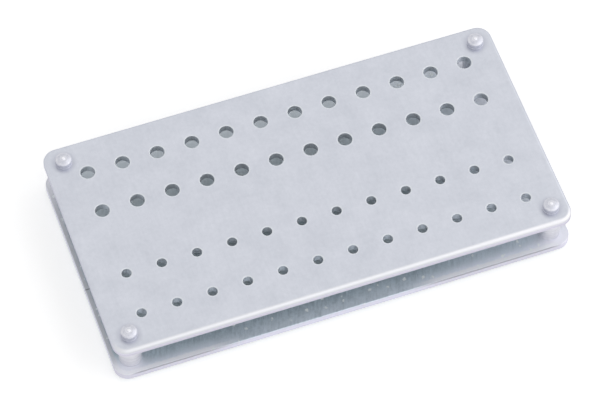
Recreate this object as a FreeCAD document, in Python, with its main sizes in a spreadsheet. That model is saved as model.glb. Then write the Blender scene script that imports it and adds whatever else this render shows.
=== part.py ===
"""Dental bur holder: a drilled plate riveted over a plain base plate on four corner spacers.

Frame: millimetres, +X along the long side, +Y to the back, +Z up. The origin is on the
surface that the holder stands on, below the middle of the plates.
"""

import FreeCAD, Part
import math
import os

import Sketcher
from FreeCAD import Vector

# Driving dimensions in millimetres: alias, value, what it is
SIZES = (
    ("hole_columns", 12, "bur holes in each row"),
    ("hole_pitch", 6.3, "hole to hole along a row"),
    ("row_spacing", 8.25, "between the two rows of one hole size"),
    ("middle_spacing", 13.3, "between the inner wide row and the inner slim row"),
    ("hole_margin", 6.6, "plate edge to the centres of the outermost holes"),
    ("wide_hole", 2.5, "bore for 2.35 mm latch and handpiece shanks"),
    ("slim_hole", 1.7, "bore for 1.6 mm friction-grip shanks"),
    ("drilled_thickness", 1.5, "sheet of the drilled plate"),
    ("base_thickness", 1.5, "sheet of the base plate"),
    ("corner_radius", 2.5, "plan radius of the plate corners"),
    ("edge_chamfer", 0.3, "broken upper edge of the drilled plate"),
    ("gap_height", 6.0, "spacer length, the gap between the plates"),
    ("sleeve_wall", 1.0, "wall of a spacer sleeve"),
    ("rivet_inset", 3.3, "rivet axis from the two nearest plate edges"),
    ("shank_diameter", 1.9, "rivet shank"),
    ("shank_clearance", 0.05, "shank to plate and sleeve, on the radius"),
    ("head_overhang", 0.5, "rivet head beyond the shank, on the radius"),
    ("head_rim", 0.8, "straight side of the rivet head"),
    ("head_crown", 0.6, "dome of the rivet head above its rim"),
    ("tail_overhang", 0.55, "formed tail beyond the shank at the base plate, on the radius"),
    ("foot_overhang", 0.25, "flat end of the tail beyond the shank, on the radius"),
    ("tail_height", 0.9, "formed tail below the base plate, a foot"),
)

SHEET = "sizes"

# Where the four sleeves and rivets stand: name, side along X, side along Y
CORNERS = (
    ("front_left", -1, -1),
    ("front_right", 1, -1),
    ("back_left", -1, 1),
    ("back_right", 1, 1),
)

# How near two lengths are when they count as the same, in millimetres
SAME = 1e-4


def size(alias):
    """A driving dimension as an expression reads it."""
    return f"<<{SHEET}>>.{alias}"


# Lengths that follow from the driving dimensions
FIRST_COLUMN = f"({size('hole_columns')} - 1) * {size('hole_pitch')} / 2"
INNER_ROW = f"{size('middle_spacing')} / 2"
OUTER_ROW = f"({INNER_ROW} + {size('row_spacing')})"
PLATE_LENGTH = f"2 * ({FIRST_COLUMN} + {size('hole_margin')})"
PLATE_DEPTH = f"2 * ({OUTER_ROW} + {size('hole_margin')})"
RIVET_X = f"({FIRST_COLUMN} + {size('hole_margin')} - {size('rivet_inset')})"
RIVET_Y = f"({OUTER_ROW} + {size('hole_margin')} - {size('rivet_inset')})"
RIVET_BORE = f"({size('shank_diameter')} + 2 * {size('shank_clearance')})"
SLEEVE_DIAMETER = f"({RIVET_BORE} + 2 * {size('sleeve_wall')})"
SHANK_RADIUS = f"({size('shank_diameter')} / 2)"
HEAD_RADIUS = f"({SHANK_RADIUS} + {size('head_overhang')})"
TAIL_RADIUS = f"({SHANK_RADIUS} + {size('tail_overhang')})"
FOOT_RADIUS = f"({SHANK_RADIUS} + {size('foot_overhang')})"

# Heights above the surface that the holder stands on
BASE_UNDERSIDE = size("tail_height")
GAP_FLOOR = f"({BASE_UNDERSIDE} + {size('base_thickness')})"
DRILLED_UNDERSIDE = f"({GAP_FLOOR} + {size('gap_height')})"
DRILLED_TOP = f"({DRILLED_UNDERSIDE} + {size('drilled_thickness')})"
HEAD_SHOULDER = f"({DRILLED_TOP} + {size('head_rim')})"
HEAD_TOP = f"({HEAD_SHOULDER} + {size('head_crown')})"

# Rows of bur holes: name, bore, distance from the middle line, side along Y
HOLE_ROWS = (
    ("WideOuter", "wide_hole", OUTER_ROW, 1),
    ("WideInner", "wide_hole", INNER_ROW, 1),
    ("SlimInner", "slim_hole", INNER_ROW, -1),
    ("SlimOuter", "slim_hole", OUTER_ROW, -1),
)


def make_sheet(doc):
    """The spreadsheet that holds the driving dimensions."""
    sheet = doc.addObject("Spreadsheet::Sheet", "Sizes")
    sheet.Label = SHEET
    for line, (alias, value, meaning) in enumerate(SIZES, start=1):
        sheet.set(f"A{line}", alias)
        sheet.set(f"B{line}", str(value))
        sheet.set(f"C{line}", meaning)
        sheet.setAlias(f"B{line}", alias)
    doc.recompute()
    return sheet


def worked_out(thing, expression):
    """The number that an expression gives now."""
    return float(thing.evalExpression(expression))


def make_body(doc, label, x="0", y="0", z="0"):
    """A body whose place follows three expressions."""
    body = doc.addObject("PartDesign::Body", label)
    body.Label = label
    body.setExpression(".Placement.Base.x", x)
    body.setExpression(".Placement.Base.y", y)
    body.setExpression(".Placement.Base.z", z)
    return body


def origin_feature(body, role):
    """One of the body's own origin planes or axes."""
    return [feature for feature in body.Origin.OriginFeatures if feature.Role == role][0]


def make_sketch(body, name, plane="XY_Plane", lift="0"):
    """A sketch on an origin plane of its body, lifted off the plane."""
    sketch = body.newObject("Sketcher::SketchObject", name)
    sketch.AttachmentSupport = [(origin_feature(body, plane), "")]
    sketch.MapMode = "FlatFace"
    sketch.setExpression(".AttachmentOffset.Base.z", lift)
    return sketch


def tie(sketch, expression, kind, *where):
    """A dimension in a sketch whose value follows an expression."""
    value = worked_out(sketch, expression)
    index = sketch.addConstraint(Sketcher.Constraint(kind, *where, value))
    sketch.setExpression(f"Constraints[{index}]", expression)


def draw_rounded_rectangle(sketch, length, depth, radius):
    """A rounded rectangle about the sketch's origin: four lines joined by four tangent arcs."""
    corner = worked_out(sketch, radius)
    half_x = worked_out(sketch, length) / 2
    half_y = worked_out(sketch, depth) / 2
    inner_x = half_x - corner
    inner_y = half_y - corner
    runs = (
        ((-inner_x, -half_y), (inner_x, -half_y)),
        ((half_x, -inner_y), (half_x, inner_y)),
        ((inner_x, half_y), (-inner_x, half_y)),
        ((-half_x, inner_y), (-half_x, -inner_y)),
    )
    quarter = math.pi / 2
    middles = ((inner_x, -inner_y), (inner_x, inner_y), (-inner_x, inner_y), (-inner_x, -inner_y))
    lines = []
    arcs = []
    for side in range(4):
        start, end = runs[side]
        lines.append(sketch.addGeometry(Part.LineSegment(Vector(*start, 0), Vector(*end, 0))))
        circle = Part.Circle(Vector(*middles[side], 0), Vector(0, 0, 1), corner)
        begin = (side - 1) * quarter
        arcs.append(sketch.addGeometry(Part.ArcOfCircle(circle, begin, begin + quarter)))
    for side in range(4):
        line_after = lines[(side + 1) % 4]
        sketch.addConstraint(Sketcher.Constraint("Tangent", lines[side], 2, arcs[side], 1))
        sketch.addConstraint(Sketcher.Constraint("Tangent", arcs[side], 2, line_after, 1))
        direction = "Vertical" if side % 2 else "Horizontal"
        sketch.addConstraint(Sketcher.Constraint(direction, lines[side]))
        if side:
            sketch.addConstraint(Sketcher.Constraint("Equal", arcs[0], arcs[side]))
    sketch.addConstraint(Sketcher.Constraint("Symmetric", arcs[0], 3, arcs[2], 3, -1, 1))
    tie(sketch, radius, "Radius", arcs[0])
    tie(sketch, f"{length} - 2 * {radius}", "DistanceX", arcs[2], 3, arcs[0], 3)
    tie(sketch, f"{depth} - 2 * {radius}", "DistanceY", arcs[0], 3, arcs[2], 3)


def draw_corner_circles(sketch, x, y, diameter):
    """Four equal circles, mirrored about both axes of the sketch."""
    far_x = worked_out(sketch, x)
    far_y = worked_out(sketch, y)
    radius = worked_out(sketch, diameter) / 2
    circles = []
    for side_x, side_y in ((1, 1), (-1, 1), (1, -1), (-1, -1)):
        centre = Vector(side_x * far_x, side_y * far_y, 0)
        circles.append(sketch.addGeometry(Part.Circle(centre, Vector(0, 0, 1), radius)))
    first, across, below, opposite = circles
    tie(sketch, x, "DistanceX", -1, 1, first, 3)
    tie(sketch, y, "DistanceY", -1, 1, first, 3)
    tie(sketch, diameter, "Diameter", first)
    sketch.addConstraint(Sketcher.Constraint("Symmetric", first, 3, across, 3, -2))
    sketch.addConstraint(Sketcher.Constraint("Symmetric", first, 3, below, 3, -1))
    sketch.addConstraint(Sketcher.Constraint("Symmetric", first, 3, opposite, 3, -1, 1))
    for circle in circles[1:]:
        sketch.addConstraint(Sketcher.Constraint("Equal", first, circle))


def draw_placed_circle(sketch, x, y, side_x, side_y, diameter):
    """One circle at the distances x and y from the sketch's origin, on the given sides of it."""
    centre = Vector(side_x * worked_out(sketch, x), side_y * worked_out(sketch, y), 0)
    radius = worked_out(sketch, diameter) / 2
    circle = sketch.addGeometry(Part.Circle(centre, Vector(0, 0, 1), radius))
    across = (-1, 1, circle, 3) if side_x > 0 else (circle, 3, -1, 1)
    along = (-1, 1, circle, 3) if side_y > 0 else (circle, 3, -1, 1)
    tie(sketch, x, "DistanceX", *across)
    tie(sketch, y, "DistanceY", *along)
    tie(sketch, diameter, "Diameter", circle)


def draw_outline(sketch, points, domed_side=None):
    """A closed outline through points given as pairs of expressions.

    The side with the number domed_side is an arc whose centre is on the sketch's upright axis,
    and it ends on that axis. The other sides are straight.
    """
    places = [Vector(worked_out(sketch, x), worked_out(sketch, y), 0) for x, y in points]
    sides = []
    for number, start in enumerate(places):
        end = places[(number + 1) % len(places)]
        if number == domed_side:
            rise = end.y - start.y
            radius = (start.x ** 2 + rise ** 2) / (2 * rise)
            centre = Vector(0, end.y - radius, 0)
            circle = Part.Circle(centre, Vector(0, 0, 1), radius)
            arc = Part.ArcOfCircle(circle, circle.parameter(start), circle.parameter(end))
            sides.append(sketch.addGeometry(arc))
            sketch.addConstraint(Sketcher.Constraint("PointOnObject", sides[-1], 3, -2))
        else:
            sides.append(sketch.addGeometry(Part.LineSegment(start, end)))
    for number, side in enumerate(sides):
        following = sides[(number + 1) % len(sides)]
        sketch.addConstraint(Sketcher.Constraint("Coincident", side, 2, following, 1))
    for side, (x, y) in zip(sides, points):
        if x == "0":
            sketch.addConstraint(Sketcher.Constraint("PointOnObject", side, 1, -2))
        else:
            tie(sketch, x, "DistanceX", -1, 1, side, 1)
        if y == "0":
            sketch.addConstraint(Sketcher.Constraint("PointOnObject", side, 1, -1))
        else:
            tie(sketch, y, "DistanceY", -1, 1, side, 1)


def pad(body, sketch, name, length):
    """Raises a sketch's outline into a solid."""
    feature = body.newObject("PartDesign::Pad", name)
    feature.Profile = sketch
    feature.setExpression("Length", length)
    body.Document.recompute()
    return feature


def revolve(body, sketch, name):
    """Turns a sketch about its own upright axis into a solid."""
    feature = body.newObject("PartDesign::Revolution", name)
    feature.Profile = sketch
    feature.ReferenceAxis = (sketch, ["V_Axis"])
    feature.Angle = 360
    body.Document.recompute()


def pocket_through(body, sketch, name):
    """Cuts a sketch's outlines right down through the body."""
    feature = body.newObject("PartDesign::Pocket", name)
    feature.Profile = sketch
    feature.Type = "ThroughAll"
    body.Document.recompute()
    return feature


def break_upper_edge(body, name, thickness, width):
    """A chamfer all round the upper face of a plate blank."""
    sheet = body.Tip
    top = worked_out(body, thickness)
    rim = []
    for number, edge in enumerate(sheet.Shape.Edges, start=1):
        if all(abs(vertex.Z - top) < SAME for vertex in edge.Vertexes):
            rim.append(f"Edge{number}")
    feature = body.newObject("PartDesign::Chamfer", name)
    feature.Base = (sheet, rim)
    feature.setExpression("Size", width)
    body.Document.recompute()


def make_blank(doc, label, underside, thickness):
    """A plate blank: a rounded rectangle of sheet."""
    body = make_body(doc, label, z=underside)
    outline = make_sketch(body, f"{label}_outline")
    draw_rounded_rectangle(outline, PLATE_LENGTH, PLATE_DEPTH, size("corner_radius"))
    pad(body, outline, f"{label}_sheet", thickness)
    return body


def drill_rivet_holes(body, thickness):
    """The four rivet holes of a plate."""
    rivets = make_sketch(body, f"{body.Label}_rivets", lift=thickness)
    draw_corner_circles(rivets, RIVET_X, RIVET_Y, RIVET_BORE)
    pocket_through(body, rivets, f"{body.Label}_rivet_holes")


def drill_row(body, name, bore, offset, side):
    """One row of bur holes: the first is drilled at the left end and repeated along X."""
    spot = make_sketch(body, f"{name}Spot", lift=size("drilled_thickness"))
    draw_placed_circle(spot, FIRST_COLUMN, offset, -1, side, size(bore))
    hole = pocket_through(body, spot, f"{name}Hole")
    row = body.newObject("PartDesign::LinearPattern", f"{name}Row")
    row.Originals = [hole]
    row.Direction = (origin_feature(body, "X_Axis"), [""])
    row.setExpression("Length", f"2 * {FIRST_COLUMN}")
    row.setExpression("Occurrences", size("hole_columns"))
    body.Tip = row
    body.Document.recompute()


def make_base_plate(doc):
    """The lower plate: a blank with square edges and the rivet holes alone."""
    thickness = size("base_thickness")
    body = make_blank(doc, "base_plate", BASE_UNDERSIDE, thickness)
    drill_rivet_holes(body, thickness)
    return body


def make_drilled_plate(doc):
    """The upper plate: a blank with its upper edge broken and four rows of bur holes."""
    thickness = size("drilled_thickness")
    body = make_blank(doc, "top_plate", DRILLED_UNDERSIDE, thickness)
    break_upper_edge(body, "top_plate_edge", thickness, size("edge_chamfer"))
    drill_rivet_holes(body, thickness)
    for row in HOLE_ROWS:
        drill_row(body, *row)
    return body


def make_sleeve(doc, corner, side_x, side_y):
    """A turned sleeve between the plates, round the shank of its rivet."""
    label = f"spacer_{corner}"
    body = make_body(doc, label, f"{side_x} * {RIVET_X}", f"{side_y} * {RIVET_Y}", GAP_FLOOR)
    ring = make_sketch(body, f"{label}_ring")
    for diameter in (SLEEVE_DIAMETER, RIVET_BORE):
        radius = worked_out(ring, diameter) / 2
        circle = ring.addGeometry(Part.Circle(Vector(0, 0, 0), Vector(0, 0, 1), radius))
        ring.addConstraint(Sketcher.Constraint("Coincident", circle, 3, -1, 1))
        tie(ring, diameter, "Diameter", circle)
    pad(body, ring, f"{label}_tube", size("gap_height"))
    return body


def make_rivet(doc, corner, side_x, side_y):
    """A solid rivet: domed head on the drilled plate, tapered tail with a flat end as a foot."""
    label = f"rivet_{corner}"
    body = make_body(doc, label, f"{side_x} * {RIVET_X}", f"{side_y} * {RIVET_Y}")
    half = make_sketch(body, f"{label}_half", "XZ_Plane")
    points = (
        ("0", "0"),
        (FOOT_RADIUS, "0"),
        (TAIL_RADIUS, BASE_UNDERSIDE),
        (SHANK_RADIUS, BASE_UNDERSIDE),
        (SHANK_RADIUS, DRILLED_TOP),
        (HEAD_RADIUS, DRILLED_TOP),
        (HEAD_RADIUS, HEAD_SHOULDER),
        ("0", HEAD_TOP),
    )
    draw_outline(half, points, domed_side=6)
    revolve(body, half, f"{label}_turned")
    return body


def check(doc, bodies):
    """Stops when an object of the document has failed or a sub-part is no valid single solid."""
    for thing in doc.Objects:
        if "Invalid" in thing.State or "Error" in thing.State:
            raise RuntimeError(f"{thing.Label} failed: {thing.State}")
    for body in bodies:
        shape = body.Shape
        if shape.isNull() or not shape.isValid() or len(shape.Solids) != 1:
            raise RuntimeError(f"{body.Label} is not one valid solid")


def check_cuts(body):
    """Stops when a cut of the body took nothing away."""
    volume = None
    for feature in body.Group:
        if not feature.isDerivedFrom("PartDesign::Feature"):
            continue
        if volume is not None and feature.Shape.Volume >= volume:
            raise RuntimeError(f"{feature.Label} removed nothing")
        volume = feature.Shape.Volume


def main():
    """Builds the holder and writes one STEP file for each sub-part."""
    doc = FreeCAD.newDocument("BurHolder")
    make_sheet(doc)
    base_plate = make_base_plate(doc)
    sleeves = [make_sleeve(doc, *corner) for corner in CORNERS]
    top_plate = make_drilled_plate(doc)
    rivets = [make_rivet(doc, *corner) for corner in CORNERS]
    bodies = [base_plate, *sleeves, top_plate, *rivets]
    doc.recompute()
    check(doc, bodies)
    for body in bodies:
        check_cuts(body)
    os.makedirs("parts", exist_ok=True)
    for body in bodies:
        body.Shape.exportStep(f"parts/{body.Label}.step")
        box = body.Shape.BoundBox
        print(body.Label, round(body.Shape.Volume, 3), "mm3,",
              f"z {box.ZMin:.3f} to {box.ZMax:.3f}")


main()
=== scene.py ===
"""Dental bur holder: a drilled aluminium plate riveted over a plain base plate on corner sleeves.

Metres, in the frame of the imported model: +X along the long side, +Y to the back, +Z up.
"""

import math

import bpy
from mathutils import Matrix, Vector


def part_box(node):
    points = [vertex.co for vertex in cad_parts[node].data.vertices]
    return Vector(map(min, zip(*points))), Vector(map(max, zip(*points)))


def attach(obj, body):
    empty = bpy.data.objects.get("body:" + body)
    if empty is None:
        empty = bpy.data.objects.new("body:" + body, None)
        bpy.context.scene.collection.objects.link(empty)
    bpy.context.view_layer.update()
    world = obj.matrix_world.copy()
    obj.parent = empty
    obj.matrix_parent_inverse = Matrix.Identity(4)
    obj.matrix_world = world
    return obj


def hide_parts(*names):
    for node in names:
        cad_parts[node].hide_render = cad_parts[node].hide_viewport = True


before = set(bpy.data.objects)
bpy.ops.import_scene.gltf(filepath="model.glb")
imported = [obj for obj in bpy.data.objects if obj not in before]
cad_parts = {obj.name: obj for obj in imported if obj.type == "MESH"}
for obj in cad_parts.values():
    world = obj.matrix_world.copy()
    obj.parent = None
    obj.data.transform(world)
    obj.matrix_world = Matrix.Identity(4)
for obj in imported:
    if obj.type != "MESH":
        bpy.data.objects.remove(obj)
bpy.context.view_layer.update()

MM = 0.001


# The view of the holder: from the front left and well above, through a long lens, so that the
# plates keep nearly parallel sides.

LENS_MM = 226.578
SENSOR_MM = 36.0
AIM = Vector((-2.0555, -2.5475, 9.9)) * MM
AZIMUTH = math.radians(-19.6917)
ELEVATION = math.radians(57.4634)
ROLL = math.radians(0.285)
DISTANCE = 646.985 * MM

camera_data = bpy.data.cameras.new("camera")
camera_data.lens = LENS_MM
camera_data.sensor_width = SENSOR_MM
camera_data.clip_start = 0.05
camera = bpy.data.objects.new("camera", camera_data)
bpy.context.scene.collection.objects.link(camera)
heading = Matrix.Rotation(AZIMUTH, 4, "Z")
tilt = Matrix.Rotation(math.pi / 2 - ELEVATION, 4, "X")
turn = heading @ tilt @ Matrix.Rotation(ROLL, 4, "Z")
camera.matrix_world = Matrix.Translation(AIM + turn @ Vector((0, 0, DISTANCE))) @ turn
bpy.context.scene.camera = camera


# The bench and the light: a pale matt board in a white tent, with one wide softbox high in
# front for the bright line along the rolled front edge, and a broad panel on the right that
# lights the gap between the plates.

FLOOR_SIZE = 3.0
FLOOR_COLOUR = (0.80, 0.80, 0.80, 1)
FLOOR_LIFT = 0.46
BOARD_TOOTH = 0.1 * MM
TENT_LEVEL = 0.62
SOFTBOX_AT = Vector((0.25, -0.75, 0.68))
SOFTBOX_WIDTH = 2.0
SOFTBOX_DEPTH = 1.4
SOFTBOX_WATTS = 3.2
PANEL_AT = Vector((0.80, -0.10, 0.58))
PANEL_SIZE = 1.2
PANEL_WATTS = 2.4


class Wire:
    """A socket in a node tree, or the bare tree. Sums on wires add Math nodes."""

    def __init__(self, tree, socket=None):
        self.tree = tree
        self.socket = socket

    def node(self, kind, settings=None, values=None, output=0):
        """A new node: its settings are made first, then its sockets get values or wires."""
        made = self.tree.nodes.new(kind)
        for name, setting in (settings or {}).items():
            if name == "choices":
                while len(made.index_switch_items) < setting:
                    made.index_switch_items.new()
            else:
                setattr(made, name, setting)
        for key, value in (values or {}).items():
            for one in value if isinstance(value, list) else [value]:
                if isinstance(one, Wire):
                    self.tree.links.new(one.socket, made.inputs[key])
                else:
                    made.inputs[key].default_value = one
        return Wire(self.tree, made.outputs[output])

    def other(self, output):
        """Another output of the node that this wire comes from."""
        return Wire(self.tree, self.socket.node.outputs[output])

    def math(self, operation, first, second=0.0):
        """One Math node."""
        return self.node("ShaderNodeMath", {"operation": operation}, {0: first, 1: second})

    def __add__(self, amount):
        return self.math("ADD", self, amount)

    __radd__ = __add__

    def __sub__(self, amount):
        return self.math("SUBTRACT", self, amount)

    def __rsub__(self, amount):
        return self.math("SUBTRACT", amount, self)

    def __mul__(self, amount):
        return self.math("MULTIPLY", self, amount)

    def __truediv__(self, amount):
        return self.math("DIVIDE", self, amount)


def new_material(name):
    """A material with an empty tree: the material, its bare tree and its output node."""
    material = bpy.data.materials.new(name)
    material.use_nodes = True
    tree = material.node_tree
    tree.nodes.clear()
    return material, Wire(tree), tree.nodes.new("ShaderNodeOutputMaterial")


def seen_white(start):
    """1 for rays from the camera, from gloss and through glass, 0 for the light on matt things."""
    path = start.node("ShaderNodeLightPath")
    rays = start.math("MAXIMUM", path.other("Is Camera Ray"), path.other("Is Glossy Ray"))
    return start.math("MAXIMUM", rays, path.other("Is Transmission Ray"))


def make_floor():
    """A matt board with a lift of its own where it is looked at, so that only shadow shows."""
    material, start, out = new_material("pale_board")
    tooth = start.node("ShaderNodeTexNoise", {}, {"Scale": 900.0, "Detail": 3.0})
    bump = start.node("ShaderNodeBump", {}, {
        "Strength": 0.05, "Distance": BOARD_TOOTH, "Height": tooth})
    matt = start.node("ShaderNodeBsdfDiffuse", {}, {"Color": FLOOR_COLOUR, "Normal": bump})
    lift = start.node("ShaderNodeEmission", {}, {"Strength": seen_white(start) * FLOOR_LIFT})
    both = start.node("ShaderNodeAddShader", {}, {0: matt, 1: lift})
    start.tree.links.new(both.socket, out.inputs["Surface"])
    half = FLOOR_SIZE / 2
    corners = [(-half, -half, 0), (half, -half, 0), (half, half, 0), (-half, half, 0)]
    mesh = bpy.data.meshes.new("floor")
    mesh.from_pydata(corners, [], [(0, 1, 2, 3)])
    mesh.materials.append(material)
    floor = bpy.data.objects.new("floor", mesh)
    bpy.context.scene.collection.objects.link(floor)


def make_tent():
    """A white world: full where it is looked at or mirrored, calmer as light."""
    world = bpy.data.worlds.new("white_tent")
    world.use_nodes = True
    world.node_tree.nodes.clear()
    start = Wire(world.node_tree)
    level = seen_white(start) * (1 - TENT_LEVEL) + TENT_LEVEL
    sky = start.node("ShaderNodeBackground", {}, {"Color": (1, 1, 1, 1), "Strength": level})
    out = world.node_tree.nodes.new("ShaderNodeOutputWorld")
    world.node_tree.links.new(sky.socket, out.inputs["Surface"])
    bpy.context.scene.world = world


def make_lamp(name, place, width, depth, watts):
    """A soft lamp, turned to the holder."""
    lamp_data = bpy.data.lights.new(name, "AREA")
    lamp_data.shape = "RECTANGLE"
    lamp_data.size = width
    lamp_data.size_y = depth
    lamp_data.energy = watts
    lamp = bpy.data.objects.new(name, lamp_data)
    bpy.context.scene.collection.objects.link(lamp)
    facing = (AIM - place).to_track_quat("-Z", "Y").to_matrix().to_4x4()
    lamp.matrix_world = Matrix.Translation(place) @ facing


make_floor()
make_tent()
make_lamp("softbox", SOFTBOX_AT, SOFTBOX_WIDTH, SOFTBOX_DEPTH, SOFTBOX_WATTS)
make_lamp("side_panel", PANEL_AT, PANEL_SIZE, PANEL_SIZE, PANEL_WATTS)
bpy.context.scene.view_settings.view_transform = "Standard"


# The two plates: rolled aluminium sheet, blanked with rounded corners and tumbled so that its
# edges roll over. The upper one is drilled with four rows of bur holes, lightly deburred, and
# both have four rivet holes. The ranges are millimetres on the plate, between which a mark
# fades in or out.

COLUMNS = 12
HOLE_PITCH = 6.3 * MM
INNER_ROW = 6.65 * MM
OUTER_ROW = 14.9 * MM
WIDE_HOLE = 2.5 * MM
SLIM_HOLE = 1.7 * MM
HOLE_RIM = 0.07 * MM
RIM_LAND = 0.18 * MM
RIVET_HOLE = 2.0 * MM
RIVET_INSET = 3.3 * MM
PLATE_CORNER = 2.5 * MM
EDGE_ROLL = 0.6 * MM
BASE_ROLL = 0.12 * MM
EDGE_BREAK = 0.12 * MM
EDGE_LAND = 0.05 * MM
CORNER_FACETS = 12
EDGE_FACETS = 8
RIM_FACETS = 4
HOLE_STEPS = 40
WELD = 0.002 * MM
PLATE_RELIEF = 0.02 * MM

SATIN_DARK = (0.548, 0.570, 0.631, 1)
SATIN_LIGHT = (0.661, 0.679, 0.742, 1)
GRAZING_TINT = (0.64, 0.64, 0.67, 1)
# Painted shade round the rivet heads.
RIVET_SHADE_GREY = (0.44, 0.455, 0.53, 1)
DISH_REACH = (1.5, 2.6)
SHEARED_SIDE = (0.725, 0.700, 0.800, 1)
BREAK_LINE = (0.40, 0.41, 0.47, 1)
BREAK_HEIGHT = 0.3
PLAIN_UNDERSIDE = (0.66, 0.72, 0.745, 1)
FRESH_CUT = (0.68, 0.71, 0.75, 1)
PIT_GREY = (0.42, 0.44, 0.48, 1)
# Painted highlight on the rolled front edge of the drilled plate, brighter to the right.
ROLL_HIGHLIGHT_LEFT = (0.695, 0.700, 0.725, 1)
ROLL_HIGHLIGHT_RIGHT = (0.790, 0.785, 0.805, 1)
ROLL_HIGHLIGHT_WIDTH = (0.4, 0.8)
ROLL_HIGHLIGHT_FRONT = (-20.6, -18.5)
ROLL_HIGHLIGHT_ALONG = (12.0, 40.0)

DULL_DARK = (0.440, 0.540, 0.605, 1)
DULL_LIGHT = (0.680, 0.775, 0.855, 1)
DULL_UNDERSIDE = (0.68, 0.70, 0.73, 1)
WIPE_ANGLE = math.radians(19.7)
FRONT_STRIP = (-20.5, -16.0)
MARKED_MIDDLE = -4.0
MARKED_ENDS = (14.0, 23.0)
# Painted light on the base's upper face, where light comes into the gap.
GAP_LIGHT_WHITE = (0.84, 0.875, 0.985, 1)
GAP_LIGHT_FRONT = (-21.9, -17.0)
GAP_LIGHT_EDGE = (0.2, 2.6)
GAP_LIGHT_RIGHT = (6.0, 36.0)
GAP_LIGHT_RIGHT_END = (36.0, 41.0)
# Painted light along the base's outer edges.
EDGE_LIGHT_REACH = (0.55, 1.0)
EDGE_LIGHT_WHITE = (0.92, 0.925, 0.99, 1)
EDGE_LIGHT_RIGHT_END = (37.5, 39.0)
LEFT_EDGE_LIGHT = (0.72, 0.73, 0.79, 1)
LEFT_EDGE_STRIP = (-39.0, -38.0)
# Painted light in the middle under the holes, painted shade along the back strip and painted light
# at the two ends of the base's upper face.
MIDDLE_PAINTED_LIGHT = (0.94, 0.93, 0.93, 1)
MIDDLE_FRONT = (-18.5, -13.0)
MIDDLE_BACK = (12.0, 17.0)
MIDDLE_ENDS = (35.0, 39.0)
REAR_PAINTED_SHADE = (0.560, 0.595, 0.635, 1)
REAR_STRIP = (13.0, 17.0)
TIP_PAINTED_LIGHT = (0.86, 0.845, 0.92, 1)
RIGHT_TIP = (33.0, 38.0)
LEFT_TIP = (34.0, 38.0)
SPECK_WHITE = (0.93, 0.97, 1.0, 1)
SPECK_DENSITY = 0.62
CLEAN_SIDE = (0.765, 0.750, 0.865, 1)
ARRIS_DARK = (0.24, 0.245, 0.30, 1)
ARRIS_HEIGHT = 0.90
ARRIS_ENDS = (37.0, 39.5)
NICK_DARK = (0.25, 0.27, 0.30, 1)
NICK_AT = (-40.75, -3.1, 0.0)
NICK_STRETCH = (1.0, 4.5, 0.0)


def new_form(name, sizes):
    """A geometry tree with named inputs: its bare tree, and its inputs by name."""
    tree = bpy.data.node_groups.new(name, "GeometryNodeTree")
    kinds = {int: "NodeSocketInt", float: "NodeSocketFloat",
             bpy.types.Material: "NodeSocketMaterial"}
    for label, value in sizes.items():
        tree.interface.new_socket(label, in_out="INPUT", socket_type=kinds[type(value)])
    tree.interface.new_socket("Geometry", in_out="OUTPUT", socket_type="NodeSocketGeometry")
    entry = tree.nodes.new("NodeGroupInput")
    return Wire(tree), {label: Wire(tree, entry.outputs[label]) for label in sizes}


def close_form(solid, material):
    """Ends a geometry tree: one real mesh with its material."""
    real = solid.node("GeometryNodeRealizeInstances", {}, {"Geometry": solid})
    dressed = real.node("GeometryNodeSetMaterial", {}, {"Geometry": real, "Material": material})
    out = solid.tree.nodes.new("NodeGroupOutput")
    solid.tree.links.new(dressed.socket, out.inputs["Geometry"])


def made_piece(name, tree, sizes):
    """An object whose plain mesh is what a geometry tree gives for these sizes."""
    piece = bpy.data.objects.new(name, bpy.data.meshes.new("seed"))
    bpy.context.scene.collection.objects.link(piece)
    modifier = piece.modifiers.new("form", "NODES")
    modifier.node_group = tree
    for item in tree.interface.items_tree:
        if item.in_out == "INPUT":
            modifier[item.identifier] = sizes[item.name]
    finished = piece.evaluated_get(bpy.context.evaluated_depsgraph_get())
    mesh = bpy.data.meshes.new_from_object(finished)
    mesh.name = name
    mesh.materials.clear()
    mesh.materials.append(sizes["Material"])
    mesh.polygons.foreach_set("material_index", [0] * len(mesh.polygons))
    piece.modifiers.clear()
    piece.data = mesh
    return piece


def bent_line(start, corners, facets):
    """An open line through corners, each given as its place across, its height and rounding."""
    index = start.node("GeometryNodeInputIndex")
    places = {"Index": index}
    radii = {"Index": index}
    for number, (across, height, rounding) in enumerate(corners):
        places[str(number)] = start.node("ShaderNodeCombineXYZ", {},
                                         {"X": across, "Y": height * -1})
        radii[str(number)] = rounding
    count = len(corners)
    place = start.node("GeometryNodeIndexSwitch", {"data_type": "VECTOR", "choices": count},
                       places)
    radius = start.node("GeometryNodeIndexSwitch", {"data_type": "FLOAT", "choices": count},
                        radii)
    line = start.node("GeometryNodeCurvePrimitiveLine")
    line = start.node("GeometryNodeSubdivideCurve", {}, {"Curve": line, "Cuts": count - 2})
    line = start.node("GeometryNodeSetPosition", {}, {"Geometry": line, "Position": place})
    return start.node("GeometryNodeFilletCurve", {"mode": "POLY"},
                      {"Curve": line, "Count": facets, "Radius": radius})


def swept(path, profile):
    """A profile carried upright round a level closed path."""
    path = path.node("GeometryNodeSetCurveNormal", {"mode": "Z_UP"}, {"Curve": path})
    return path.node("GeometryNodeCurveToMesh", {}, {"Curve": path, "Profile Curve": profile})


def hole_points(start, size, side):
    """Places of the two rows of one hole size, on one side of the middle line."""
    rows = []
    for row in ("Inner Row", "Outer Row"):
        first = start.node("ShaderNodeCombineXYZ", {}, {
            "X": (size["Columns"] - 1) * size["Pitch"] * -0.5, "Y": size[row] * side})
        step = start.node("ShaderNodeCombineXYZ", {}, {"X": size["Pitch"]})
        rows.append(start.node("GeometryNodeMeshLine", {"mode": "OFFSET"}, {
            "Count": size["Columns"], "Start Location": first, "Offset": step}))
    return start.node("GeometryNodeJoinGeometry", {}, {"Geometry": rows})


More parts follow.
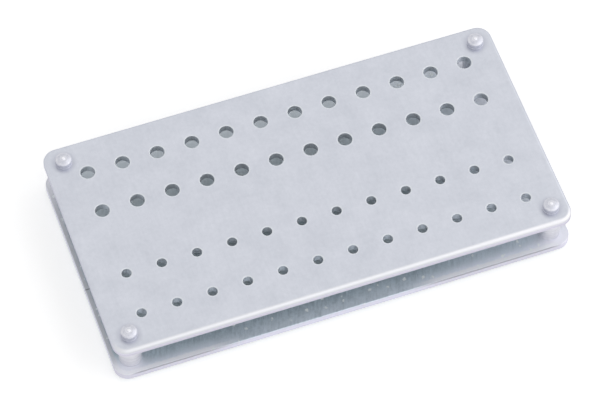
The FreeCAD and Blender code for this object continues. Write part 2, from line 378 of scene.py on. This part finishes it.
def rivet_points(start, size):
    """Places of the four rivets."""
    return start.node("GeometryNodeMeshGrid", {}, {
        "Size X": size["Rivet X"] * 2, "Size Y": size["Rivet Y"] * 2,
        "Vertices X": 2, "Vertices Y": 2})


def marked_cut(shell, cut):
    """The shell with a mark on every face: 1 where a tool cut the metal, 0 where it was rolled."""
    return shell.node("GeometryNodeStoreNamedAttribute",
                      {"data_type": "FLOAT", "domain": "FACE"},
                      {"Geometry": shell, "Name": "cut", "Value": cut})


def perforated_sheet(sizes):
    """The tree of a plate: two flat faces, the rolled edge between them and the hole walls."""
    start, size = new_form("perforated_sheet", sizes)
    low = size["Underside"]
    high = low + size["Thickness"]
    inset = size["Roll"] + size["Edge Land"]
    outline = start.node("GeometryNodeCurvePrimitiveQuadrilateral", {"mode": "RECTANGLE"}, {
        "Width": size["Length"] - inset * 2, "Height": size["Depth"] - inset * 2})
    outline = start.node("GeometryNodeFilletCurve", {"mode": "POLY"}, {
        "Curve": outline, "Count": CORNER_FACETS, "Radius": size["Corner"] - inset})
    edge = bent_line(start, ((0.0, high, 0.0), (inset, high, size["Roll"]),
                             (inset, low, size["Break"]), (0.0, low, 0.0)), EDGE_FACETS)
    shells = [marked_cut(swept(outline, edge), 0.0)]
    circles = [outline]
    for bore, places in (("Wide Hole", hole_points(start, size, 1)),
                         ("Slim Hole", hole_points(start, size, -1)),
                         ("Rivet Hole", rivet_points(start, size))):
        reach = size["Rim"] + size["Rim Land"]
        circle = start.node("GeometryNodeCurvePrimitiveCircle", {"mode": "RADIUS"}, {
            "Resolution": HOLE_STEPS, "Radius": size[bore] / 2 + reach})
        wall = bent_line(start, (
            (0.0, high, 0.0), (reach * -1, high, size["Rim"]),
            (reach * -1, low, size["Rim"]), (0.0, low, 0.0)), RIM_FACETS)
        wall = start.node("GeometryNodeFlipFaces", {}, {"Mesh": swept(circle, wall)})
        for thing, kept in ((circle, circles), (marked_cut(wall, 1.0), shells)):
            kept.append(start.node("GeometryNodeInstanceOnPoints", {},
                                   {"Points": places, "Instance": thing}))
    flat = start.node("GeometryNodeJoinGeometry", {}, {"Geometry": circles})
    flat = start.node("GeometryNodeRealizeInstances", {}, {"Geometry": flat})
    flat = start.node("GeometryNodeFillCurve", {"mode": "TRIANGLES"}, {"Curve": flat})
    flat = marked_cut(flat, 0.0)
    for height, turned in ((high, False), (low, True)):
        lift = start.node("ShaderNodeCombineXYZ", {}, {"Z": height})
        face = start.node("GeometryNodeTransform", {}, {"Geometry": flat, "Translation": lift})
        if turned:
            face = start.node("GeometryNodeFlipFaces", {}, {"Mesh": face})
        shells.append(face)
    solid = start.node("GeometryNodeJoinGeometry", {}, {"Geometry": shells})
    solid = start.node("GeometryNodeRealizeInstances", {}, {"Geometry": solid})
    solid = start.node("GeometryNodeMergeByDistance", {}, {
        "Geometry": solid, "Distance": size["Weld"]})
    solid = start.node("GeometryNodeSetShadeSmooth", {}, {"Geometry": solid})
    place = start.node("GeometryNodeInputPosition")
    height = start.node("ShaderNodeSeparateXYZ", {}, {"Vector": place}, "Z")
    solid = start.node("GeometryNodeStoreNamedAttribute", {"data_type": "FLOAT"}, {
        "Geometry": solid, "Name": "through", "Value": (height - low) / size["Thickness"]})
    close_form(solid, size["Material"])
    return start.tree


def millimetres(start):
    """The place on the piece, in millimetres."""
    place = start.node("ShaderNodeTexCoord", {}, {}, "Object")
    return start.node("ShaderNodeVectorMath", {"operation": "SCALE"}, {0: place, "Scale": 1 / MM})


def cloud(start, place, stretch, detail=3.0, roughness=0.55):
    """Noise whose grain is 1 / stretch long along each axis."""
    grid = start.node("ShaderNodeVectorMath", {"operation": "MULTIPLY"}, {0: place, 1: stretch})
    return start.node("ShaderNodeTexNoise", {}, {
        "Vector": grid, "Scale": 1.0, "Detail": detail, "Roughness": roughness})


def stepped(value, low, high):
    """0 below low, 1 above high, and a soft ramp between."""
    return value.node("ShaderNodeMapRange", {"interpolation_type": "SMOOTHSTEP"}, {
        "Value": value, "From Min": low, "From Max": high})


def tinted(start, mask, dark, light):
    """A colour from dark to light as the mask goes from 0 to 1."""
    return start.node("ShaderNodeMix", {"data_type": "RGBA"}, {0: mask, 6: dark, 7: light}, 2)


def vectors(start, operation, first, second=None, output=0):
    """One Vector Math node."""
    values = {0: first} if second is None else {0: first, 1: second}
    return start.node("ShaderNodeVectorMath", {"operation": operation}, values, output)


def coordinate(place, axis):
    """One coordinate of a place."""
    return place.node("ShaderNodeSeparateXYZ", {}, {"Vector": place}, axis)


def edge_distance(start, place, size):
    """How far in from the plate's rounded outline a place is, in millimetres, up to the corner
    radius."""
    corner = size["Corner"] / MM
    above = size["Length"] / MM
    inner = (size["Length"] / 2 / MM - corner, size["Depth"] / 2 / MM - corner, above)
    away = vectors(start, "ABSOLUTE", place)
    away = vectors(start, "SUBTRACT", away, inner)
    away = vectors(start, "MAXIMUM", away, (0, 0, 0))
    return corner - vectors(start, "LENGTH", away, output="Value")


def rivet_distance(start, place, size):
    """How far a place is from the axis of the nearest rivet, in millimetres."""
    axis = (size["Rivet X"] / MM, size["Rivet Y"] / MM, 0.0)
    away = vectors(start, "ABSOLUTE", place)
    away = vectors(start, "SUBTRACT", away, axis)
    away = vectors(start, "MULTIPLY", away, (1, 1, 0))
    return vectors(start, "LENGTH", away, output="Value")


def sheet_parts(start, size):
    """How far up through the plate a place is, from 0 to 1, and masks of its sheared side, its
    underside and what a drill cut."""
    through = start.node("ShaderNodeAttribute", {"attribute_name": "through"}, {}, "Fac")
    cut = start.node("ShaderNodeAttribute", {"attribute_name": "cut"}, {}, "Fac")
    fold = size["Roll"] / size["Thickness"]
    side = stepped(through, 0.02, 0.06) * stepped(1 - through, fold * 0.8, fold * 1.2)
    under = 1 - stepped(through, 0.0, 0.03)
    return through, side * (1 - cut), under * (1 - cut), cut


def break_line(start, through, side, shear, mottle):
    """A ragged dark line low on the sheared side, where the last of the metal tore."""
    line = start.math("ABSOLUTE", through + (mottle - 0.5) * 0.12 - BREAK_HEIGHT)
    return (1 - stepped(line, 0.0, 0.07)) * side * stepped(shear, 0.25, 0.6)


def painted_roll_highlight(start, place, through, size):
    """Where the rolled front edge carries a painted highlight."""
    edge = 1 - stepped(edge_distance(start, place, size), *ROLL_HIGHLIGHT_WIDTH)
    front = 1 - stepped(coordinate(place, "Y"), *ROLL_HIGHLIGHT_FRONT)
    return stepped(through, 0.55, 0.75) * edge * front


def drilled_sheet_metal(size):
    """Satin rolled sheet: fine grain along Y, faint clouds and hairlines, a shallow dish round
    each rivet with painted shade round the head, a painted highlight on the rolled front edge,
    which is also rougher, and pale metal where the holes were drilled."""
    material, start, out = new_material("drilled_sheet_metal")
    place = millimetres(start)
    grain = cloud(start, place, (5.0, 0.35, 5.0), 4.0)
    clouds = cloud(start, place, (0.22, 0.22, 0.22))
    mottle = cloud(start, place, (1.3, 1.3, 1.3), 4.0, 0.65)
    shear = cloud(start, place, (6.0, 6.0, 0.8), 3.0)
    hairs = stepped(cloud(start, place, (9.0, 0.12, 9.0), 2.0), 0.66, 0.74)
    hairs = hairs * stepped(clouds, 0.45, 0.6)
    pits = stepped(cloud(start, place, (5.0, 5.0, 5.0), 2.0), 0.74, 0.8)
    through, side, under, cut = sheet_parts(start, size)
    crack = break_line(start, through, side, shear, mottle)
    # Painted shade round each rivet head; the same mask also lowers the bump into a shallow dish.
    dish = (1 - stepped(rivet_distance(start, place, size), *DISH_REACH)) * (1 - side)
    # Painted highlight on the rolled front edge; the roll is also rougher there, more so to the
    # right.
    roll = painted_roll_highlight(start, place, through, size)
    right = stepped(coordinate(place, "X"), *ROLL_HIGHLIGHT_ALONG)
    tone = 0.5 + (clouds - 0.5) * 1.0 + (grain - 0.5) * 0.45 + (mottle - 0.5) * 1.0
    colour = tinted(start, tone, SATIN_DARK, SATIN_LIGHT)
    colour = tinted(start, dish * 0.5, colour, RIVET_SHADE_GREY)
    colour = tinted(start, side * (0.7 + shear * 0.3), colour, SHEARED_SIDE)
    colour = tinted(start, crack * 0.6, colour, BREAK_LINE)
    colour = tinted(start, under, colour, PLAIN_UNDERSIDE)
    colour = tinted(start, cut * 0.9, colour, FRESH_CUT)
    colour = tinted(start, pits * 0.25, colour, PIT_GREY)
    # Painted highlight colour, brighter to the right.
    highlight_colour = tinted(start, right, ROLL_HIGHLIGHT_LEFT, ROLL_HIGHLIGHT_RIGHT)
    colour = tinted(start, roll * 0.85, colour, highlight_colour)
    rough = 0.34 + (clouds - 0.5) * 0.10 + (grain - 0.5) * 0.12 + side * 0.08
    rough = rough + roll * (0.10 + right * 0.14) + cut * 0.1
    height = grain * 0.5 + mottle * 0.3 - hairs * 0.5 - pits * 0.4 - crack * 1.5
    height = height + side * shear - dish
    bump = start.node("ShaderNodeBump", {}, {
        "Strength": 0.16, "Distance": PLATE_RELIEF, "Height": height})
    metal = start.node("ShaderNodeBsdfPrincipled", {}, {
        "Base Color": colour, "Metallic": 1 - cut * 0.25, "Roughness": rough, "Normal": bump,
        "Specular Tint": GRAZING_TINT})
    start.tree.links.new(metal.socket, out.inputs["Surface"])
    return material


def painted_gap_light(place, streaks, mottle, inward, ends):
    """Ragged painted light on the upper face, stronger to the front edge, round the marked ends
    and to the right, where light comes into the gap.
    """
    across = coordinate(place, "X")
    wavy = (streaks - 0.5) * 3.0 + (mottle - 0.5) * 2.5
    gap_light = (1 - stepped(coordinate(place, "Y") + wavy, *GAP_LIGHT_FRONT)) * 0.5
    gap_light = gap_light + (1 - stepped(inward + wavy, *GAP_LIGHT_EDGE)) * ends * 0.5
    right = stepped(across, *GAP_LIGHT_RIGHT) * (1 - stepped(across, *GAP_LIGHT_RIGHT_END))
    return (gap_light + right * 0.3) * (0.4 + streaks * 1.2)


def white_specks(start, place, through, mottle):
    """A few torn white specks on the upper face."""
    cells = start.node("ShaderNodeTexVoronoi", {"voronoi_dimensions": "2D"}, {
        "Vector": place, "Scale": SPECK_DENSITY})
    chosen = start.node("ShaderNodeSeparateColor", {}, {"Color": cells.other("Color")}, 0)
    speck = 1 - stepped(cells + (mottle - 0.5) * 1.0, 0.09, 0.19)
    return speck * stepped(through, 0.4, 0.6) * stepped(chosen, 0.74, 0.78)


def arris_line(start, place, through, clouds, shear):
    """A thin dark line along the upper arris, broken up by noise."""
    line = start.math("ABSOLUTE", through + (clouds - 0.5) * 0.1 - ARRIS_HEIGHT)
    line = (1 - stepped(line, 0.08, 0.16)) * stepped(shear, 0.20, 0.40)
    line = line * stepped(1 - through, 0.0, 0.02)
    return line * (1 - stepped(start.math("ABSOLUTE", coordinate(place, "X")), *ARRIS_ENDS))


def edge_nick(start, place):
    """One small dark nick in the left edge."""
    spot = vectors(start, "SUBTRACT", place, NICK_AT)
    spot = vectors(start, "MULTIPLY", spot, NICK_STRETCH)
    return 1 - stepped(vectors(start, "LENGTH", spot, output="Value"), 0.35, 0.7)


def shaded_sheet(start, place, colour, upper, gap_light, front):
    """The base sheet's colour: on its upper face, painted light in the middle under the holes,
    painted shade along the back strip, painted light where light comes into the gap and painted
    light at the two ends; its underside stays even."""
    across = coordinate(place, "X")
    back = coordinate(place, "Y")
    middle = stepped(back, *MIDDLE_FRONT) * (1 - stepped(back, *MIDDLE_BACK))
    middle = middle * (1 - stepped(start.math("ABSOLUTE", across), *MIDDLE_ENDS))
    tips = stepped(across, *RIGHT_TIP) + stepped(across * -1, *LEFT_TIP) * front
    # Painted light in the middle, under the holes.
    colour = tinted(start, middle * upper * 0.5, colour, MIDDLE_PAINTED_LIGHT)
    # Painted shade, greyer, along the back strip.
    colour = tinted(start, stepped(back, *REAR_STRIP) * upper * 0.8, colour, REAR_PAINTED_SHADE)
    colour = tinted(start, (1 - upper) * 0.5, colour, DULL_UNDERSIDE)
    # Painted light where light comes into the gap.
    colour = tinted(start, gap_light, colour, GAP_LIGHT_WHITE)
    # Painted light at the two ends.
    return tinted(start, tips * upper * 0.7, colour, TIP_PAINTED_LIGHT)


def base_sheet_metal(size):
    """Duller sheet, wiped at a slant: streaks, ragged painted light to the front, the ends and the
    right, white specks, painted light along the outer edge, a dark arris at the ends, one nick on
    the left and clean sheared sides."""
    material, start, out = new_material("base_sheet_metal")
    place = millimetres(start)
    wiped = start.node("ShaderNodeVectorRotate", {"rotation_type": "Z_AXIS"}, {
        "Vector": place, "Angle": WIPE_ANGLE})
    streaks = cloud(start, wiped, (2.4, 0.4, 2.4), 4.0, 0.7)
    clouds = cloud(start, place, (0.3, 0.3, 0.3))
    patches = stepped(cloud(start, wiped, (0.5, 0.9, 0.5), 3.0), 0.35, 0.65)
    mottle = cloud(start, place, (1.5, 1.5, 1.5), 4.0, 0.65)
    shear = cloud(start, place, (6.0, 6.0, 0.8), 3.0)
    through, side, under, _ = sheet_parts(start, size)
    inward = edge_distance(start, place, size)
    across = coordinate(place, "X")
    upper = 1 - under
    front = (1 - stepped(coordinate(place, "Y"), *FRONT_STRIP)) * upper
    ends = stepped(start.math("ABSOLUTE", across - MARKED_MIDDLE), *MARKED_ENDS) * front
    # Painted light where light comes into the gap between the plates.
    gap_light = painted_gap_light(place, streaks, mottle, inward, ends) * upper
    # Painted light along the outer edge of the upper face, at the ends of the front strip and
    # along the left side.
    outer = (1 - stepped(inward + (mottle - 0.5) * 0.6, *EDGE_LIGHT_REACH)) * upper
    edge_light = outer * ends * (1 - stepped(across, *EDGE_LIGHT_RIGHT_END))
    left = outer * (1 - front) * (1 - stepped(across, *LEFT_EDGE_STRIP))
    speck = white_specks(start, place, through, mottle)
    arris = arris_line(start, place, through, clouds, shear) * ends
    nick = edge_nick(start, place)
    tone = 0.5 + (streaks - 0.5) * (1.6 + patches * 2.8) + (clouds - 0.5) * 0.5
    # Lighter toward the front: painted light where light comes into the gap.
    tone = tone + (mottle - 0.5) * (1.4 + front * 1.4) + front * 0.12
    colour = tinted(start, tone, DULL_DARK, DULL_LIGHT)
    colour = shaded_sheet(start, place, colour, upper, gap_light, front)
    colour = tinted(start, edge_light, colour, EDGE_LIGHT_WHITE)
    colour = tinted(start, left, colour, LEFT_EDGE_LIGHT)
    colour = tinted(start, speck, colour, SPECK_WHITE)
    colour = tinted(start, side * (0.8 + shear * 0.2), colour, CLEAN_SIDE)
    colour = tinted(start, arris * 0.65, colour, ARRIS_DARK)
    colour = tinted(start, nick * 0.8, colour, NICK_DARK)
    rough = 0.48 + (clouds - 0.5) * 0.12 + (streaks - 0.5) * 0.16 + gap_light * 0.1
    height = streaks * 0.5 + mottle * 0.3 + speck - arris - nick * 1.5 + side * shear
    bump = start.node("ShaderNodeBump", {}, {
        "Strength": 0.2, "Distance": PLATE_RELIEF, "Height": height})
    share = 0.6 - gap_light * 0.3 - (edge_light + left) * 0.3 - speck * 0.5 + side * 0.3
    metal = start.node("ShaderNodeBsdfPrincipled", {}, {
        "Base Color": colour, "Metallic": share, "Roughness": rough, "Normal": bump})
    start.tree.links.new(metal.socket, out.inputs["Surface"])
    return material


low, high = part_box("top_plate")
plate_sizes = {
    "Length": high.x - low.x,
    "Depth": high.y - low.y,
    "Underside": low.z,
    "Thickness": high.z - low.z,
    "Corner": PLATE_CORNER,
    "Roll": EDGE_ROLL,
    "Break": EDGE_BREAK,
    "Edge Land": EDGE_LAND,
    "Columns": COLUMNS,
    "Pitch": HOLE_PITCH,
    "Inner Row": INNER_ROW,
    "Outer Row": OUTER_ROW,
    "Wide Hole": WIDE_HOLE,
    "Slim Hole": SLIM_HOLE,
    "Rim": HOLE_RIM,
    "Rim Land": RIM_LAND,
    "Rivet X": high.x - RIVET_INSET,
    "Rivet Y": high.y - RIVET_INSET,
    "Rivet Hole": RIVET_HOLE,
    "Weld": WELD,
}
plate_sizes["Material"] = drilled_sheet_metal(plate_sizes)
sheet_form = perforated_sheet(plate_sizes)
top_plate = made_piece("drilled_sheet", sheet_form, plate_sizes)
plate_sizes["Underside"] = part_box("base_plate")[0].z
plate_sizes["Columns"] = 0
plate_sizes["Roll"] = BASE_ROLL
plate_sizes["Material"] = base_sheet_metal(plate_sizes)
base_plate = made_piece("base_sheet", sheet_form, plate_sizes)
for piece, node in ((top_plate, "top_plate"), (base_plate, "base_plate")):
    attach(piece, "root")
    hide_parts(node)


# The four sleeves: short lengths turned from aluminium bar, with fine tool rings left on the
# side and both ends broken. Each stands round its rivet and holds the plates apart.

SLEEVE_DIAMETER = 4.0 * MM
SLEEVE_BORE = 2.0 * MM
SLEEVE_BREAK = 0.12 * MM
SLEEVE_STEPS = 64
BREAK_FACETS = 4
TOOL_RINGS = 9
RING_DEPTH = 0.035 * MM
RING_STEPS = 72
RING_GRAIN = (0.15, 0.15, 4.5)
RING_RELIEF = 0.03 * MM
TURNED_DARK = (0.60, 0.605, 0.66, 1)
TURNED_LIGHT = (0.86, 0.855, 0.90, 1)


def ringed_wall(start, size, high, half_wall):
    """The outer wall of a sleeve as a wavy line from top to bottom, one wave to a tool ring."""
    index = start.node("GeometryNodeInputIndex")
    share = index / RING_STEPS
    drop = high - size["Break"] * 2 - share * (size["Length"] - size["Break"] * 4)
    wave = start.math("COSINE", share * size["Tool Rings"] * math.tau)
    across = half_wall - (1 - wave) * size["Ring Depth"] * 0.5
    place = start.node("ShaderNodeCombineXYZ", {}, {"X": across, "Y": drop * -1})
    line = start.node("GeometryNodeCurvePrimitiveLine")
    line = start.node("GeometryNodeSubdivideCurve", {}, {"Curve": line, "Cuts": RING_STEPS - 1})
    return start.node("GeometryNodeSetPosition", {}, {"Geometry": line, "Position": place})


def turned_sleeves(sizes):
    """The tree of the sleeves: a ringed wall, chamfered ends and a bore, set at each rivet."""
    start, size = new_form("turned_sleeves", sizes)
    low = size["Underside"]
    high = low + size["Length"]
    middle = (size["Diameter"] + size["Bore"]) / 4
    half_wall = (size["Diameter"] - size["Bore"]) / 4
    circle = start.node("GeometryNodeCurvePrimitiveCircle", {"mode": "RADIUS"}, {
        "Resolution": SLEEVE_STEPS, "Radius": middle})
    ends = bent_line(start, (
        (half_wall, low + size["Break"] * 2, 0.0), (half_wall, low, size["Break"]),
        (half_wall * -1, low, size["Break"]), (half_wall * -1, high, size["Break"]),
        (half_wall, high, size["Break"]), (half_wall, high - size["Break"] * 2, 0.0)),
        BREAK_FACETS)
    rings = ringed_wall(start, size, high, half_wall)
    profile = start.node("GeometryNodeJoinGeometry", {}, {"Geometry": [ends, rings]})
    sleeve = swept(circle, profile)
    sleeve = start.node("GeometryNodeMergeByDistance", {}, {
        "Geometry": sleeve, "Distance": size["Weld"]})
    sleeve = start.node("GeometryNodeSetShadeSmooth", {}, {"Geometry": sleeve})
    stood = start.node("GeometryNodeInstanceOnPoints", {}, {
        "Points": rivet_points(start, size), "Instance": sleeve})
    close_form(stood, size["Material"])
    return start.tree


def turned_aluminium():
    """Turned bar: rings round the axis, a soft satin shine."""
    material, start, out = new_material("turned_bar_metal")
    rings = cloud(start, millimetres(start), RING_GRAIN, 4.0, 0.7)
    colour = tinted(start, 0.5 + (rings - 0.5) * 2.4, TURNED_DARK, TURNED_LIGHT)
    bump = start.node("ShaderNodeBump", {}, {
        "Strength": 0.4, "Distance": RING_RELIEF, "Height": rings})
    metal = start.node("ShaderNodeBsdfPrincipled", {}, {
        "Base Color": colour, "Metallic": 0.7, "Roughness": 0.40 + rings * 0.14,
        "Normal": bump})
    start.tree.links.new(metal.socket, out.inputs["Surface"])
    return material


sleeve_low, sleeve_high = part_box("spacer_front_left")
sleeve_sizes = {
    "Underside": sleeve_low.z,
    "Length": sleeve_high.z - sleeve_low.z,
    "Diameter": SLEEVE_DIAMETER,
    "Bore": SLEEVE_BORE,
    "Break": SLEEVE_BREAK,
    "Tool Rings": TOOL_RINGS,
    "Ring Depth": RING_DEPTH,
    "Rivet X": high.x - RIVET_INSET,
    "Rivet Y": high.y - RIVET_INSET,
    "Weld": WELD,
    "Material": turned_aluminium(),
}
sleeves = made_piece("sleeves", turned_sleeves(sleeve_sizes), sleeve_sizes)
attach(sleeves, "root")
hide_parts("spacer_front_left", "spacer_front_right", "spacer_back_left",
            "spacer_back_right")


# The four rivets: solid aluminium, each with a low domed head set on the drilled plate, with a
# small pip at its middle, and a tail formed under the base plate, which ends flat and is a
# foot.

SHANK = 1.9 * MM
HEAD = 2.85 * MM
HEAD_RIM = 1.0 * MM
HEAD_SKIRT = 0.04 * MM
SKIRT_HEIGHT = 0.10 * MM
HEAD_ROUND = 0.16 * MM
CROWN_ROUND = 0.9 * MM
TAIL = 3.0 * MM
TAIL_LIP = 0.25 * MM
TAIL_ROUND = 0.3 * MM
FOOT = 2.4 * MM
FOOT_ROUND = 0.1 * MM
CRISP_ROUND = 0.02 * MM
PIP = 0.36 * MM
PIP_RISE = 0.09 * MM
PIP_ROUND = 0.1 * MM
PIP_FILLET = 0.05 * MM
RIVET_STEPS = 56
RIVET_FACETS = 8
RIVET_SEED = 4
RIVET_RELIEF = 0.04 * MM
PRESSED_DARK = (0.53, 0.54, 0.61, 1)
PRESSED_LIGHT = (0.74, 0.745, 0.79, 1)
# Painted highlight on the pip.
PIP_HIGHLIGHT_WHITE = (0.95, 0.95, 0.98, 1)


def rivet_outline(start, size):
    """Half the section of a rivet, from the foot up to the pip, measured out from the shank."""
    shank = size["Shank"] / 2
    axis = shank * -1
    foot = size["Foot"] / 2 - shank
    tail = size["Tail"] / 2 - shank
    head = size["Head"] / 2
    skirt = head + size["Head Skirt"] - shank
    rim = head - shank
    crown = head * 0.5 - shank
    seat = size["Head Seat"]
    lip = seat + size["Skirt Height"]
    shoulder = seat + size["Head Rim"]
    top = size["Head Top"]
    under = size["Tail Seat"]
    return bent_line(start, (
        (axis, 0.0, 0.0), (foot, 0.0, FOOT_ROUND), (tail, under - TAIL_LIP, TAIL_ROUND),
        (tail, under, CRISP_ROUND), (0.0, under, 0.0), (0.0, seat, 0.0),
        (skirt, seat, CRISP_ROUND), (skirt, lip, CRISP_ROUND), (rim, lip, CRISP_ROUND),
        (rim, shoulder, HEAD_ROUND), (crown, top - size["Pip Rise"] * 1.2, CROWN_ROUND),
        (size["Pip"] - shank, top - size["Pip Rise"], PIP_FILLET),
        (size["Pip"] * 0.65 - shank, top, PIP_ROUND), (axis, top, 0.0)), RIVET_FACETS)


def set_rivets(sizes):
    """The tree of the rivets: one turned outline, set at each corner and turned at random."""
    start, size = new_form("set_rivets", sizes)
    circle = start.node("GeometryNodeCurvePrimitiveCircle", {"mode": "RADIUS"}, {
        "Resolution": RIVET_STEPS, "Radius": size["Shank"] / 2})
    rivet = swept(circle, rivet_outline(start, size))
    rivet = start.node("GeometryNodeFlipFaces", {}, {"Mesh": rivet})
    rivet = start.node("GeometryNodeMergeByDistance", {}, {
        "Geometry": rivet, "Distance": size["Weld"]})
    rivet = start.node("GeometryNodeSetShadeSmooth", {}, {"Geometry": rivet})
    spin = start.node("FunctionNodeRandomValue", {"data_type": "FLOAT"}, {
        2: 0.0, 3: math.tau, "Seed": size["Seed"]}, 1)
    spin = start.node("ShaderNodeCombineXYZ", {}, {"Z": spin})
    spin = start.node("FunctionNodeEulerToRotation", {}, {"Euler": spin})
    stood = start.node("GeometryNodeInstanceOnPoints", {}, {
        "Points": rivet_points(start, size), "Instance": rivet, "Rotation": spin})
    close_form(stood, size["Material"])
    return start.tree


def rivet_aluminium(size):
    """Pressed rivet metal: satin, with faint rings and marks of the setting tool, and a painted
    highlight on the pip.
    """
    material, start, out = new_material("pressed_rivet_metal")
    place = millimetres(start)
    marks = cloud(start, place, (2.2, 2.2, 2.2), 4.0, 0.6)
    away = rivet_distance(start, place, size)
    reach = start.node("ShaderNodeCombineXYZ", {}, {"X": away, "Y": coordinate(place, "Z")})
    rings = cloud(start, reach, (4.0, 3.0, 1.0), 2.0)
    tone = 0.5 + (marks - 0.5) * 1.6 + (rings - 0.5) * 1.8
    colour = tinted(start, tone, PRESSED_DARK, PRESSED_LIGHT)
    # Painted highlight on the pip at the middle of each head.
    pip_highlight = 1 - stepped(away, size["Pip"] * 0.4 / MM, size["Pip"] * 1.1 / MM)
    colour = tinted(start, pip_highlight * 0.7, colour, PIP_HIGHLIGHT_WHITE)
    bump = start.node("ShaderNodeBump", {}, {
        "Strength": 0.3, "Distance": RIVET_RELIEF, "Height": marks * 1.5 + rings * 0.6})
    metal = start.node("ShaderNodeBsdfPrincipled", {}, {
        "Base Color": colour, "Metallic": 0.85, "Roughness": 0.36 + marks * 0.12,
        "Normal": bump})
    start.tree.links.new(metal.socket, out.inputs["Surface"])
    return material


rivet_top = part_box("rivet_front_left")[1].z
rivet_sizes = {
    "Shank": SHANK,
    "Head": HEAD,
    "Head Rim": HEAD_RIM,
    "Head Skirt": HEAD_SKIRT,
    "Skirt Height": SKIRT_HEIGHT,
    "Head Seat": high.z,
    "Head Top": rivet_top,
    "Pip": PIP,
    "Pip Rise": PIP_RISE,
    "Tail": TAIL,
    "Foot": FOOT,
    "Tail Seat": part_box("base_plate")[0].z,
    "Rivet X": high.x - RIVET_INSET,
    "Rivet Y": high.y - RIVET_INSET,
    "Weld": WELD,
    "Seed": RIVET_SEED,
}
rivet_sizes["Material"] = rivet_aluminium(rivet_sizes)
rivets = made_piece("rivets", set_rivets(rivet_sizes), rivet_sizes)
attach(rivets, "root")
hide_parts("rivet_front_left", "rivet_front_right", "rivet_back_left",
            "rivet_back_right")
